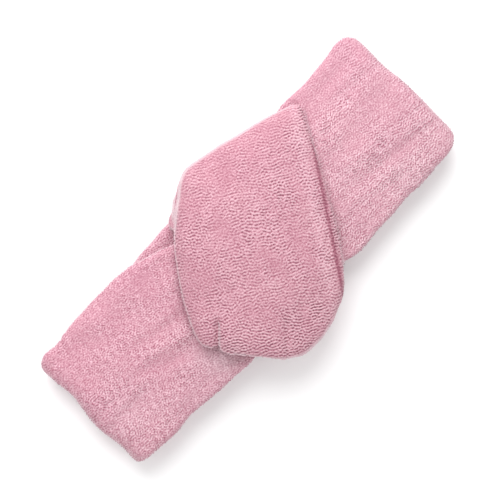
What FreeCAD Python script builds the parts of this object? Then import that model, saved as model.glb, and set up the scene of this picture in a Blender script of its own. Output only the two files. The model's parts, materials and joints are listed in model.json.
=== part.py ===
import FreeCAD, Part

import os
import re

import Sketcher

# Terry spa headband with a wrapped front knot, lying flat with its loop closed.
# +X runs along the band, +Y across it towards the top of the head, +Z away from the
# resting surface. The origin is on the resting surface, under the middle of the band.

SIZES = {
    # whole band
    "flat_length": 240.0,      # end fold to end fold, lying flat
    "top_edge": 37.5,          # band's edge on the +Y side
    "low_edge": 40.5,          # band's edge on the -Y side
    # cloth layers
    "outer_pile": 3.8,         # terry face layer, with its loops
    "lining_pile": 3.5,        # terry lining layer
    "layer_gap": 0.2,          # between two layers of one band
    "loop_gap": 5.0,           # between the front band and the back casing
    "turn_clearance": 0.3,     # between cloth that bends apart
    # where the band bends and where it is sewn
    "back_bend": 30.0,         # from the middle to each bend of the back casing
    "knot_bend": 76.0,         # from the middle to each bend beside the knot
    "tab_length": 18.0,        # from a fold's centre to its side seam
    "seam_gap": 0.2,           # at the left side seam
    "pivot_gap": 1.5,          # at the right side seam, where the loop is open
    # elastic in the back casing
    "elastic_width": 50.0,
    "elastic_thick": 1.2,
    "elastic_play": 0.1,       # above and below the elastic
    "elastic_side_play": 0.5,
    "elastic_setback": 5.0,    # from the side seam to the elastic's end
    "tack_setback": 4.0,       # from the elastic's end to its tack stitches
    # wrap round the knot
    "wrap_rise": 14.0,         # from the band's face to the top of the wrap
    "strap_reach": 22.0,       # half of the strap's length along X
    "wrap_clearance": 0.3,     # round the band inside the wrap
    "wrap_corner": 5.0,        # plan radius of the wrap's corners
    "wrap_crown": 3.4,         # radius of the wrap's top edge
    # wrap outline: places along X
    "tip_along": 74.0,
    "waist_right": 58.0,
    "heel_right": 28.0,
    "foot_right": 2.0,
    "foot_left": 18.0,
    "heel_left": 35.0,
    "nub_left": 52.0,
    "waist_left": 42.0,
    "shoulder_left": 20.0,
    "crown_left": 5.0,
    "crown_right": 26.0,
    # wrap outline: distances across, from the band's edges or its middle
    "tip_inset": 4.5,          # tip, inside the top edge
    "waist_right_up": 4.0,
    "heel_right_drop": 4.5,    # beyond the low edge
    "foot_right_drop": 18.5,
    "foot_left_drop": 20.0,
    "heel_left_drop": 4.5,
    "nub_rise": 20.5,          # nub, inside the low edge
    "waist_left_up": 2.0,
    "shoulder_inset": 2.5,     # left shoulder, inside the top edge
    "crown_left_rise": 14.0,   # beyond the top edge
    "crown_right_rise": 10.5,
    # gathered middle of the front band
    "taper_start": 50.0,       # where the band starts to narrow
    "gather_top": 29.0,
    "gather_low": 32.0,
    "gather_gap": 1.4,         # between the two halves, for their seam
    # thread
    "cord_radius": 0.5,        # overlocked edge seam
    "cord_clearance": 0.1,
    "stitch_length": 2.2,
    "stitch_width": 0.7,
    "stitch_thick": 0.5,
    "groove_width": 1.3,
    "groove_depth": 0.7,
}

DERIVED = {
    "band_thick": "(outer_pile + layer_gap + lining_pile)",
    "roll_radius": "(band_thick + loop_gap / 2)",
    "fold_along": "(flat_length / 2 - roll_radius)",
    "seam_along": "(fold_along - tab_length)",
    "arm_base": "(band_thick + loop_gap)",
    "half_turn_gap": "(turn_clearance / 2)",
    "channel_depth": "((elastic_thick + 2 * elastic_play - layer_gap) / 2)",
    "elastic_end": "(seam_along - elastic_setback)",
    "tack_along": "(elastic_end - tack_setback)",
    "strap_layer": "((strap_thick - layer_gap) / 2)",
    "wrap_middle": "((tip_along - nub_left) / 2)",
    "wrap_centre": "((top_edge + crown_left_rise - low_edge - foot_left_drop) / 2)",
    "wrap_across": "(top_edge + crown_left_rise + low_edge + foot_left_drop)",
    "tunnel_low": "(arm_base - layer_gap)",
    "tunnel_high": "(arm_base + band_thick + layer_gap)",
    "wrap_low": "(band_thick + turn_clearance)",
    "wrap_high": "(arm_base + band_thick + wrap_rise)",
    "strap_thick": "(tunnel_low - layer_gap / 2 - wrap_low)",
}

STITCH_COUNTS = {"tack": 14, "wrap_seam": 11}
WHOLE_TURN = 360.0
ROOM = 20.0                    # how far a cutting shape runs past what it cuts
SMALLEST_CUT = 0.01            # mm3, least volume that a cut has to take away

SIDES = {"left": -1, "right": 1}

os.makedirs("parts", exist_ok=True)
doc = FreeCAD.newDocument("SpaHeadband")
sheet = doc.addObject("Spreadsheet::Sheet", "Sizes")
for row, (alias, value) in enumerate(SIZES.items(), start=1):
    sheet.set(f"A{row}", alias)
    sheet.set(f"B{row}", str(value))
    sheet.setAlias(f"B{row}", alias)
doc.recompute()

pieces = []
cuts = []


def linked(text):
    """Write a size in words as an expression on the sheet."""
    def swap(match):
        name = match.group(0)
        return linked(DERIVED[name]) if name in DERIVED else f"Sizes.{name}"
    return re.sub(r"[a-z][a-z_]*[a-z]", swap, text)


def measure(text):
    """Give the value that a size in words has now."""
    return float(sheet.evalExpression(linked(text)))


def new_body(label):
    """Start one cloth piece."""
    body = doc.addObject("PartDesign::Body", label)
    body.Label = label
    pieces.append(body)
    return body


def new_sketch(body, name, role, offset="0", along="0"):
    """Attach a sketch to one of the body's own planes, offset along its normal."""
    sketch = body.newObject("Sketcher::SketchObject", name)
    plane = [item for item in body.Origin.OriginFeatures if item.Role == role][0]
    sketch.AttachmentSupport = [(plane, "")]
    sketch.MapMode = "FlatFace"
    sketch.setExpression("AttachmentOffset.Base.x", linked(along))
    sketch.setExpression("AttachmentOffset.Base.z", linked(offset))
    return sketch


def polygon(sketch, corners):
    """Draw a closed outline whose corners are pairs of sizes in words."""
    count = len(corners)
    points = [FreeCAD.Vector(measure(along), measure(across), 0) for along, across in corners]
    for index in range(count):
        edge = Part.LineSegment(points[index], points[(index + 1) % count])
        sketch.addGeometry(edge, False)
    for index in range(count):
        joint = Sketcher.Constraint("Coincident", index, 2, (index + 1) % count, 1)
        sketch.addConstraint(joint)
    for index, corner in enumerate(corners):
        for kind, words in zip(("DistanceX", "DistanceY"), corner):
            size = Sketcher.Constraint(kind, -1, 1, index, 1, measure(words))
            number = sketch.addConstraint(size)
            sketch.setExpression(f"Constraints[{number}]", linked(words))


def circle(sketch, along, up, radius):
    """Draw a circle whose centre and radius are sizes in words."""
    centre = FreeCAD.Vector(measure(along), measure(up), 0)
    upright = FreeCAD.Vector(0, 0, 1)
    sketch.addGeometry(Part.Circle(centre, upright, measure(radius)), False)
    wanted = (("DistanceX", along), ("DistanceY", up))
    for kind, words in wanted:
        size = Sketcher.Constraint(kind, -1, 1, 0, 3, measure(words))
        number = sketch.addConstraint(size)
        sketch.setExpression(f"Constraints[{number}]", linked(words))
    number = sketch.addConstraint(Sketcher.Constraint("Radius", 0, measure(radius)))
    sketch.setExpression(f"Constraints[{number}]", linked(radius))


def slab(label, corners, base, thick):
    """Pad a plan outline upwards from a height."""
    body = new_body(label)
    sketch = new_sketch(body, label + "_plan", "XY_Plane", base)
    polygon(sketch, corners)
    pad = body.newObject("PartDesign::Pad", label + "_pad")
    pad.Profile = sketch
    pad.setExpression("Length", linked(thick))
    return body


def cut_down(body, name, corners, top, depth):
    """Take away the space under a plan outline, from its height down to a depth."""
    sketch = new_sketch(body, name + "_plan", "XY_Plane", top)
    polygon(sketch, corners)
    before = body.Tip
    pocket = body.newObject("PartDesign::Pocket", name)
    pocket.Profile = sketch
    pocket.setExpression("Length", linked(depth))
    cuts.append((pocket, before))
    return pocket


def cut_for_roll(body, name, side, clearance):
    """Hollow a piece's end to go round its fold's roll, with a clearance."""
    sketch = new_sketch(body, name + "_section", "XZ_Plane")
    sign = "-" if SIDES[side] < 0 else ""
    circle(sketch, f"{sign}fold_along", "roll_radius", f"roll_radius + {clearance}")
    before = body.Tip
    pocket = body.newObject("PartDesign::Pocket", name)
    pocket.Profile = sketch
    pocket.Type = "ThroughAll"
    pocket.SideType = "Symmetric"
    cuts.append((pocket, before))


def strip(side, near, far, low="-low_edge", top="top_edge"):
    """Outline of a rectangle between two distances from the middle, on one side."""
    sign = "-" if SIDES[side] < 0 else ""
    return [
        (f"{sign}({near})", low),
        (f"{sign}({far})", low),
        (f"{sign}({far})", top),
        (f"{sign}({near})", top),
    ]


def stitches(label, count, along, across, up, step, lengthwise):
    """Lay a row of separate stitches, centred on a place, along X or along Y."""
    row = []
    for index in range(count):
        stitch = doc.addObject("Part::Box", f"{label}_{index}")
        shift = f"{index - (count - 1) / 2} * ({step})"
        sizes = ("stitch_length", "stitch_width") if lengthwise else ("stitch_width", "stitch_length")
        move = (shift, "0") if lengthwise else ("0", shift)
        stitch.setExpression("Length", linked(sizes[0]))
        stitch.setExpression("Width", linked(sizes[1]))
        stitch.setExpression("Height", linked("stitch_thick"))
        stitch.setExpression("Placement.Base.x", linked(f"{along} + {move[0]} - {sizes[0]} / 2"))
        stitch.setExpression("Placement.Base.y", linked(f"{across} + {move[1]} - {sizes[1]} / 2"))
        stitch.setExpression("Placement.Base.z", linked(up))
        row.append(stitch)
    group = doc.addObject("Part::Compound", label)
    group.Label = label
    group.Links = row
    pieces.append(group)


def seam_cord(label, start, length, across, up, turn):
    """Lay a straight overlocked seam from a start; turn is its direction."""
    cord = doc.addObject("Part::Cylinder", label)
    cord.Label = label
    cord.Placement.Rotation = turn
    cord.setExpression("Radius", linked("cord_radius"))
    cord.setExpression("Height", linked(length))
    cord.setExpression("Placement.Base.x", linked(start))
    cord.setExpression("Placement.Base.y", linked(across))
    cord.setExpression("Placement.Base.z", linked(up))
    pieces.append(cord)


ALONG_BAND = FreeCAD.Rotation(FreeCAD.Vector(0, 1, 0), 90)
ACROSS_BAND = FreeCAD.Rotation(FreeCAD.Vector(1, 0, 0), -90)
EDGE_CORD_ACROSS = "-low_edge - cord_radius - cord_clearance"
FRONT_SEAM_UP = "arm_base + lining_pile + layer_gap / 2"


def fold_roll(label, side, outer, inner):
    """Revolve one layer of the rolled end fold about the fold's centre line."""
    body = new_body(label)
    sign = "-" if SIDES[side] < 0 else ""
    sketch = new_sketch(body, label + "_section", "XY_Plane", "roll_radius", f"{sign}fold_along")
    corners = [
        (inner, "-low_edge"),
        (outer, "-low_edge"),
        (outer, "top_edge"),
        (inner, "top_edge"),
    ]
    polygon(sketch, corners)
    turn = body.newObject("PartDesign::Revolution", label + "_turn")
    turn.Profile = sketch
    turn.ReferenceAxis = (sketch, ["V_Axis"])
    turn.Angle = WHOLE_TURN


def arm(side):
    """Front band from the bend beside the knot to the end fold, with its rolled fold."""
    near = "knot_bend + half_turn_gap"
    outline = strip(side, near, "fold_along")
    lining = slab(f"arm_{side}_lining", outline, "arm_base", "lining_pile")
    cut_for_roll(lining, f"arm_{side}_lining_hollow", side, "layer_gap / 2")
    face_base = "arm_base + lining_pile + layer_gap"
    face = slab(f"arm_{side}_outer", outline, face_base, "outer_pile")
    cut_for_roll(face, f"arm_{side}_outer_hollow", side, "layer_gap / 2")
    fold_roll(f"fold_{side}_outer", side, "roll_radius", "roll_radius - outer_pile")
    lining_outer = "roll_radius - outer_pile - layer_gap"
    fold_roll(f"fold_{side}_lining", side, lining_outer, f"{lining_outer} - lining_pile")
    length = "fold_along - knot_bend - roll_radius"
    start = "knot_bend + half_turn_gap" if SIDES[side] > 0 else f"-(knot_bend + half_turn_gap) - ({length})"
    seam_cord(f"arm_{side}_seam", start, length, EDGE_CORD_ACROSS, FRONT_SEAM_UP, ALONG_BAND)


def front_half(side):
    """Front band from its bend, gathered narrow, to the seam in the middle of the knot."""
    sign = "-" if SIDES[side] < 0 else ""
    outline = [
        (f"{sign}(knot_bend - half_turn_gap)", "-low_edge"),
        (f"{sign}(knot_bend - half_turn_gap)", "top_edge"),
        (f"{sign}taper_start", "top_edge"),
        (f"{sign}gather_gap / 2", "gather_top"),
        (f"{sign}gather_gap / 2", "-gather_low"),
        (f"{sign}taper_start", "-low_edge"),
    ]
    slab(f"front_{side}_lining", outline, "arm_base", "lining_pile")
    slab(f"front_{side}_outer", outline, "arm_base + lining_pile + layer_gap", "outer_pile")
    length = "knot_bend - half_turn_gap - taper_start"
    start = "taper_start" if SIDES[side] > 0 else "-(knot_bend - half_turn_gap)"
    seam_cord(f"front_{side}_seam", start, length, EDGE_CORD_ACROSS, FRONT_SEAM_UP, ALONG_BAND)


WRAP_OUTLINE = [
    ("tip_along", "top_edge - tip_inset"),
    ("waist_right", "waist_right_up"),
    ("heel_right", "-low_edge - heel_right_drop"),
    ("foot_right", "-low_edge - foot_right_drop"),
    ("-foot_left", "-low_edge - foot_left_drop"),
    ("-heel_left", "-low_edge - heel_left_drop"),
    ("-nub_left", "-low_edge + nub_rise"),
    ("-waist_left", "waist_left_up"),
    ("-shoulder_left", "top_edge - shoulder_inset"),
    ("crown_left", "top_edge + crown_left_rise"),
    ("crown_right", "top_edge + crown_right_rise"),
]


def inset_outline(inset):
    """Wrap outline drawn in towards its middle, by an inset where it is narrowest."""
    share = f"(1 - 2 * ({inset}) / wrap_across)"
    return [
        (
            f"wrap_middle + (({along}) - wrap_middle) * {share}",
            f"wrap_centre + (({across}) - wrap_centre) * {share}",
        )
        for along, across in WRAP_OUTLINE
    ]


def tunnel_outline():
    """Plan of the passage that the front band takes through the wrap."""
    far = f"knot_bend + {ROOM}"
    top = "top_edge + wrap_clearance"
    low = "-low_edge - 2 * cord_radius - cord_clearance - wrap_clearance"
    return [
        (f"-({far})", low),
        ("-taper_start", low),
        ("0", "-gather_low - wrap_clearance"),
        ("taper_start", low),
        (far, low),
        (far, top),
        ("taper_start", top),
        ("0", "gather_top + wrap_clearance"),
        ("-taper_start", top),
        (f"-({far})", top),
    ]


def open_wrap(body, name):
    """Cut the band's passage, and leave only the strap under the band."""
    height = "tunnel_high - tunnel_low"
    cut_down(body, name + "_tunnel", tunnel_outline(), "tunnel_high", height)
    reach = f"low_edge + foot_left_drop + {ROOM}"
    for side in SIDES:
        outline = strip(side, "strap_reach", f"knot_bend + {ROOM}", f"-({reach})", reach)
        cut_down(body, f"{name}_under_{side}", outline, "tunnel_low", f"tunnel_low - wrap_low + {ROOM}")


def round_edges(body, name, wanted, radius):
    """Fillet the edges of the body's last feature that a test picks."""
    doc.recompute()
    base = body.Tip
    chosen = [f"Edge{i}" for i, edge in enumerate(base.Shape.Edges, start=1) if wanted(edge)]
    fillet = body.newObject("PartDesign::Fillet", name)
    fillet.Base = (base, chosen)
    fillet.setExpression("Radius", linked(radius))


def is_upright(edge):
    box = edge.BoundBox
    return box.ZLength > box.XLength + box.YLength


def is_on_top(edge):
    return edge.BoundBox.ZMin > measure("wrap_high") - SMALLEST_CUT


def knot_wrap():
    """Terry wrap round the gathered middle: face layer, lining layer and closing seam."""
    face = slab("knot_wrap_outer", inset_outline("0"), "wrap_low", "wrap_high - wrap_low")
    round_edges(face, "wrap_corners", is_upright, "wrap_corner")
    round_edges(face, "wrap_crown_edge", is_on_top, "wrap_crown")
    top = "wrap_high - outer_pile"
    base = "wrap_low + strap_layer"
    cut_down(face, "wrap_inside", inset_outline("outer_pile"), top, f"{top} - ({base})")
    open_wrap(face, "wrap_outer")
    groove = [
        ("-strap_reach", "-groove_width / 2"),
        ("strap_reach", "-groove_width / 2"),
        ("strap_reach", "groove_width / 2"),
        ("-strap_reach", "groove_width / 2"),
    ]
    cut_down(face, "wrap_seam_groove", groove, "wrap_low + groove_depth", "groove_depth")

    lining_inset = "outer_pile + layer_gap"
    lining_top = f"({top} - layer_gap)"
    lining_base = f"({base} + layer_gap)"
    lining = slab(
        "knot_wrap_lining",
        inset_outline(lining_inset),
        lining_base,
        f"{lining_top} - {lining_base}",
    )
    inside_top = f"({lining_top} - lining_pile)"
    inside_base = f"({lining_base} + strap_layer)"
    inside = inset_outline(f"{lining_inset} + lining_pile")
    cut_down(lining, "lining_inside", inside, inside_top, f"{inside_top} - {inside_base}")
    open_wrap(lining, "wrap_lining")

    step = f"2 * strap_reach / {STITCH_COUNTS['wrap_seam']}"
    up = "wrap_low + groove_depth - stitch_thick"
    stitches("knot_wrap_seam", STITCH_COUNTS["wrap_seam"], "0", "0", up, step, True)
    gathered_ends(inside_top)


def gathered_ends(top):
    """Crossed, gathered ends of the band that fill the wrap above its passage."""
    base = "(tunnel_high + wrap_clearance)"
    outline = inset_outline("outer_pile + 2 * layer_gap + lining_pile")
    reach = f"low_edge + foot_left_drop + {ROOM}"
    for side in SIDES:
        other = "right" if side == "left" else "left"
        half = slab(f"knot_gather_{side}", outline, base, f"{top} - layer_gap - {base}")
        away = strip(other, "-gather_gap / 2", f"knot_bend + {ROOM}", f"-({reach})", reach)
        cut_down(half, f"gather_{side}_half", away, top, f"{top} - {base} + {ROOM}")
    length = "gather_low + gather_top"
    up = "arm_base + band_thick / 2"
    seam_cord("knot_gather_seam", "0", length, "-gather_low", up, ACROSS_BAND)


def casing(section, outline, channel, tack_side=None):
    """One stretch of the back casing: outer layer, inner layer and the elastic's channel."""
    outer = slab(f"casing_{section}_outer", outline, "0", "outer_pile")
    cut_down(outer, f"channel_{section}_outer", channel, "outer_pile", "channel_depth")
    base = "outer_pile + layer_gap"
    inner = slab(f"casing_{section}_inner", outline, base, "lining_pile")
    roof = f"{base} + channel_depth"
    cut_down(inner, f"channel_{section}_inner", channel, roof, "channel_depth")
    if tack_side:
        low = "-elastic_width / 2"
        near = "tack_along - groove_width / 2"
        far = "tack_along + groove_width / 2"
        groove = strip(tack_side, near, far, low, "elastic_width / 2")
        cut_down(inner, f"tack_groove_{section}", groove, "band_thick", "groove_depth")


def elastic(section, outline):
    """One stretch of the woven elastic, halfway between the casing's layers."""
    base = "outer_pile + layer_gap / 2 - elastic_thick / 2"
    slab(f"elastic_{section}", outline, base, "elastic_thick")


def elastic_plan(corners, width):
    """Narrow an outline to the elastic, with any play beside it."""
    across = (f"-({width})", f"-({width})", width, width)
    return [(along, edge) for (along, _), edge in zip(corners, across)]


def back_side(side):
    """Back casing on one side, from its bend to the side seam, with its elastic."""
    gap = "pivot_gap" if side == "right" else "seam_gap"
    near = "back_bend + half_turn_gap"
    casing_plan = strip(side, near, f"seam_along - {gap} / 2")
    channel = elastic_plan(
        strip(side, f"{near} - {ROOM}", "elastic_end + elastic_side_play"),
        "elastic_width / 2 + elastic_side_play",
    )
    casing(side, casing_plan, channel, side)
    elastic(side, elastic_plan(strip(side, near, "elastic_end"), "elastic_width / 2"))
    sign = "-" if SIDES[side] < 0 else ""
    up = "band_thick - groove_depth"
    step = f"elastic_width / {STITCH_COUNTS['tack']}"
    stitches(f"elastic_tack_{side}", STITCH_COUNTS["tack"], f"{sign}tack_along", "0", up, step, False)


def back_centre():
    """Middle of the back casing, which the headband lies on."""
    ends = "(back_bend - half_turn_gap)"
    plan = [
        (f"-{ends}", "-low_edge"),
        (ends, "-low_edge"),
        (ends, "top_edge"),
        (f"-{ends}", "top_edge"),
    ]
    far = f"(back_bend + {ROOM})"
    run = [(along.replace(ends, far), across) for along, across in plan]
    casing("centre", plan, elastic_plan(run, "elastic_width / 2 + elastic_side_play"))
    elastic("centre", elastic_plan(plan, "elastic_width / 2"))


def tab(side):
    """Front band's cloth under the fold, up to the side seam, and the seam's thread."""
    gap = "pivot_gap" if side == "right" else "seam_gap"
    outline = strip(side, f"seam_along + {gap} / 2", "fold_along")
    for layer, base, thick in (
        ("outer", "0", "outer_pile"),
        ("lining", "outer_pile + layer_gap", "lining_pile"),
    ):
        piece = slab(f"tab_{side}_{layer}", outline, base, thick)
        cut_for_roll(piece, f"tab_{side}_{layer}_hollow", side, "turn_clearance")
        if layer == "lining":
            near = f"seam_along + {gap} / 2"
            groove = strip(side, near, f"{near} + 2 * cord_radius + 2 * cord_clearance")
            cut_down(piece, f"side_seam_groove_{side}", groove, "band_thick", "2 * cord_radius")
    sign = "-" if SIDES[side] < 0 else ""
    along = f"{sign}(seam_along + {gap} / 2 + cord_radius + cord_clearance)"
    length = "low_edge + top_edge"
    seam_cord(f"side_seam_{side}", along, length, "-low_edge", "band_thick - cord_radius", ACROSS_BAND)


for each_side in SIDES:
    arm(each_side)
    front_half(each_side)
    back_side(each_side)
    tab(each_side)
back_centre()
knot_wrap()
doc.recompute()

faults = [item.Name for item in doc.Objects if {"Invalid", "Error"} & set(item.State)]
faults += [item.Label for item in pieces if item.Shape.isNull() or not item.Shape.isValid()]
faults += [cut.Name for cut, base in cuts if base.Shape.Volume - cut.Shape.Volume < SMALLEST_CUT]
if faults:
    raise RuntimeError(f"these did not build: {faults}")
if len({item.Label for item in pieces}) != len(pieces):
    raise RuntimeError("two pieces have the same name")
for item in pieces:
    item.Shape.exportStep(f"parts/{item.Label}.step")
print(len(pieces), "pieces, roll radius", measure("roll_radius"), "fold at", measure("fold_along"))
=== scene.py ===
import json
import math

import bpy
import numpy as np
from mathutils import Matrix, Vector


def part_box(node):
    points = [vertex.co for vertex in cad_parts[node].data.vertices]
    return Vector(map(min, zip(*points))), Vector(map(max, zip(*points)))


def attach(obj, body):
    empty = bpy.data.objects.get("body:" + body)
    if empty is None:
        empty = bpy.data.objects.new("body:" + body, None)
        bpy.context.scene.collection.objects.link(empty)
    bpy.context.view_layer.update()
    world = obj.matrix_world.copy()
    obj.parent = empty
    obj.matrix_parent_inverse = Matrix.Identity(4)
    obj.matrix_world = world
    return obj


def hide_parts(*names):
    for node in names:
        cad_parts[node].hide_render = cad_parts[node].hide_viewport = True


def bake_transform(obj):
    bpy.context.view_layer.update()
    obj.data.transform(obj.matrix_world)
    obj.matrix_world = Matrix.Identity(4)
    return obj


# Terry spa headband. The band is a padded tube of terry that runs from the knot along each
# arm, round the end folds and back under itself, and the wrap is a padded loop of ribbed
# terry round the gathered middle. Lengths are in millimetres until a mesh is made.

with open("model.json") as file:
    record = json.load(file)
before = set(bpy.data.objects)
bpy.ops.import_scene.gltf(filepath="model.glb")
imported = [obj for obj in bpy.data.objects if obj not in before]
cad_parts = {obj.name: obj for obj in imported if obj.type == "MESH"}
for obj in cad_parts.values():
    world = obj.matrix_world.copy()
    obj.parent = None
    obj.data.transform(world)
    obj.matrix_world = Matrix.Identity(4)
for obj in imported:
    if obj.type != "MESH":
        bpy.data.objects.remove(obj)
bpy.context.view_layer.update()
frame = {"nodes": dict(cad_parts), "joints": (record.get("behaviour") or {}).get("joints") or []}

MM = 0.001
SIDES = {"left": -1, "right": 1}


def low(node):
    """Lowest corner of a designed solid's box."""
    return np.array(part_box(node)[0]) / MM


def high(node):
    """Highest corner of it."""
    return np.array(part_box(node)[1]) / MM


# ---------------------------------------------------------------- sizes from the frame
ARM_LOW = low("arm_left_lining")[2]
ARM_HIGH = high("arm_left_outer")[2]
BAND_THICK = ARM_HIGH - ARM_LOW
FOLD_RADIUS = ARM_HIGH / 2
FOLD_ALONG = high("fold_right_outer")[0] - FOLD_RADIUS
SEAM_ALONG = (high("casing_right_outer")[0] + low("tab_right_outer")[0]) / 2
TOP_EDGE = high("arm_left_outer")[1]
LOW_EDGE = low("arm_left_outer")[1]
STRAP_REACH = high("knot_wrap_seam")[0] + 0.9
STRAP_LOW = low("knot_wrap_outer")[2]
WRAP_HIGH = high("knot_wrap_outer")[2]
TACK_ALONG = high("elastic_tack_right")[0]
BEND = {joint["name"]: np.array(joint["pos_m"]) / MM for joint in frame["joints"]}
KNOT_BEND = BEND["knot_right_bend"][0]

# ---------------------------------------------------------------- sizes of the cloth
PLY = 6.4                     # padded band before it puffs out
WRAP_PLY = 7.0                # padded wrap before it puffs out
WRAP_EDGE_PLY = 4.0           # the same at the wrap's edges
PUFF_CAP = 0.8                # how far the simulation may move a point of the band
WRAP_PUFF_CAP = 1.0           # the same for the wrap
LOOP_HEIGHT = 0.42            # the band's loops of pile stand this far up and down
RIB_HEIGHT = 0.36             # the same for the knot's ribs of pile
SEAM_SINK = 1.3               # how deep the side seams draw the cloth in
JUST_ABOVE_FLOOR = 0.02
SPLIT_ALONG = 93.0            # where one arm's front piece meets its fold piece
THREAD_RADIUS = 0.28

# ---------------------------------------------------------------- fineness of the grids
COARSE = 3.6                  # spacing of the rows of cloth that are simulated
COLUMNS = 48                  # points round the section of a padded strip
BAND_FINE = 10                # fine rows for each coarse row of the band
CASING_FINE = 8
WRAP_FINE = 9
AROUND_FINE = 7               # fine columns for each coarse column
WRAP_SPANS = 4                # simulated rows for each control row of the wrap


# ================================================================ splines and grids
def smooth_step(value):
    """Ease from 0 to 1."""
    value = np.clip(value, 0, 1)
    return value * value * (3 - 2 * value)


def upsample(grid, axis, factor, closed):
    """Follow a grid's points along one axis with a uniform cubic B-spline."""
    grid = np.moveaxis(np.asarray(grid, float), axis, 0)
    if closed:
        padded = np.concatenate([grid[-1:], grid, grid[:2]])
    else:
        first = 2 * grid[:1] - grid[1:2]
        last = 2 * grid[-1:] - grid[-2:-1]
        padded = np.concatenate([first, grid, last])
    spans = len(padded) - 3
    rows = []
    for step in range(factor):
        t = step / factor
        weights = (
            (1 - t) ** 3 / 6,
            (3 * t ** 3 - 6 * t ** 2 + 4) / 6,
            (-3 * t ** 3 + 3 * t ** 2 + 3 * t + 1) / 6,
            t ** 3 / 6,
        )
        rows.append(sum(w * padded[k:k + spans] for k, w in enumerate(weights)))
    fine = np.stack(rows, axis=1).reshape((spans * factor,) + grid.shape[1:])
    if not closed:
        fine = np.concatenate([fine, grid[-1:]])
    return np.moveaxis(fine, 0, axis)


def through(points, share):
    """Place on a smooth curve through points, at shares of its length from 0 to 1."""
    points = np.array(points, float)
    steps = np.linalg.norm(np.diff(points, axis=0), axis=1)
    knots = np.concatenate([[0], np.cumsum(steps)]) / steps.sum()
    before = 2 * points[0] - points[1]
    after = 2 * points[-1] - points[-2]
    padded = np.vstack([before, points, after])
    share = np.atleast_1d(share)
    index = np.clip(np.searchsorted(knots, share, side="right") - 1, 0, len(points) - 2)
    t = ((share - knots[index]) / (knots[index + 1] - knots[index]))[:, None]
    p0, p1, p2, p3 = (padded[index + k] for k in range(4))
    return 0.5 * (
        2 * p1 + (p2 - p0) * t + (2 * p0 - 5 * p1 + 4 * p2 - p3) * t ** 2
        + (3 * p1 - p0 - 3 * p2 + p3) * t ** 3
    )


def flat_oval(count, width, thick, outer_share):
    """Section of a padded strip: shares across (-1 to 1) and of its thickness (-1 to 1).

    It starts and ends in the middle of the inner face, and its outer face gets a share
    of the points.
    """
    radius = thick / 2
    straight = width - thick
    turn = math.pi * radius
    total = 2 * (straight + turn)
    across, lift = [], []
    for index in range(count):
        place = (index + 0.5) / count - 0.5
        if abs(place) < outer_share / 2:
            quarter = place / outer_share / 2
        else:
            beyond = (abs(place) - outer_share / 2) / (1 - outer_share)
            quarter = math.copysign(0.25 + beyond / 2, place)
        s = (quarter * total + straight / 2) % total
        if s < straight:
            point = (-straight / 2 + s, radius)
        elif s < straight + turn:
            angle = (s - straight) / radius
            point = (straight / 2 + radius * math.sin(angle), radius * math.cos(angle))
        elif s < 2 * straight + turn:
            point = (straight / 2 - (s - straight - turn), -radius)
        else:
            angle = (s - 2 * straight - turn) / radius
            point = (-straight / 2 - radius * math.sin(angle), -radius * math.cos(angle))
        across.append(point[0] / (width / 2))
        lift.append(point[1] / radius)
    return np.array(across), np.array(lift)


def surface_normals(grid, rows_closed):
    """Unit normals of a grid whose columns close on themselves."""
    around = np.roll(grid, -1, axis=1) - np.roll(grid, 1, axis=1)
    if rows_closed:
        along = np.roll(grid, -1, axis=0) - np.roll(grid, 1, axis=0)
    else:
        along = np.gradient(grid, axis=0)
    normal = np.cross(around, along)
    return normal / np.maximum(np.linalg.norm(normal, axis=2, keepdims=True), 1e-9)


# ================================================================ pile and soft relief
def waves(points, count, shortest, longest, seed):
    """Sum of many plane waves: a field of soft blobs."""
    random = np.random.default_rng(seed)
    field = np.zeros(points.shape[:-1])
    for _ in range(count):
        length = random.uniform(shortest, longest)
        vector = random.normal(size=3)
        vector = vector / np.linalg.norm(vector) * (2 * math.pi / length)
        field += np.cos(points @ vector + random.uniform(0, 2 * math.pi))
    return field / math.sqrt(count / 2)


def even_waves(points, count, shortest, longest, seed, direction=None, spread=0.0):
    """Waves that are evened out, so that their crests stand equally high everywhere.

    With a direction they make branching ribs across it, and without one they make blobs.
    """
    random = np.random.default_rng(seed)
    field = np.zeros(points.shape[:-1])
    partner = np.zeros(points.shape[:-1])
    for _ in range(count):
        length = random.uniform(shortest, longest)
        if direction is None:
            vector = random.normal(size=3)
            vector *= 1 if vector @ (0.4, 0.8, 0.45) > 0 else -1
        else:
            turn = random.normal() * spread
            c, s = math.cos(turn), math.sin(turn)
            x, y = direction
            vector = np.array([c * x - s * y, s * x + c * y, 0])
        vector = vector / np.linalg.norm(vector) * (2 * math.pi / length)
        phase = points @ vector + random.uniform(0, 2 * math.pi)
        field += np.cos(phase)
        partner += np.sin(phase)
    return field / np.sqrt(field ** 2 + partner ** 2 + 0.05 * count)


def rounded_tips(field, power):
    """Broad tips and narrow grooves, as loops of pile stand; heights run from -1 to 1."""
    return 2 * np.clip(0.5 + 0.5 * field, 0, 1) ** power - 1


def unrolled(lengths, grid):
    """Cloth laid flat: length along the strip, and length round it from the outer face."""
    steps = np.linalg.norm(np.diff(grid, axis=1), axis=2)
    around = np.concatenate([np.zeros((len(grid), 1)), np.cumsum(steps, axis=1)], axis=1)
    around -= around[:, around.shape[1] // 2, None]
    along = np.broadcast_to(lengths[:, None], around.shape)
    return np.stack([along, around, 0 * around], axis=-1)


def grain(flat_points, seed):
    """Band's pile: short loops about 1.4 mm apart that lie roughly along the band."""
    loops = even_waves(flat_points, 60, 1.05, 1.45, seed, (0.2, 0.98), 0.62)
    knots = even_waves(flat_points, 50, 1.0, 1.45, seed + 1)
    return rounded_tips(0.62 * loops + 0.5 * knots, 0.66)


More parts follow.
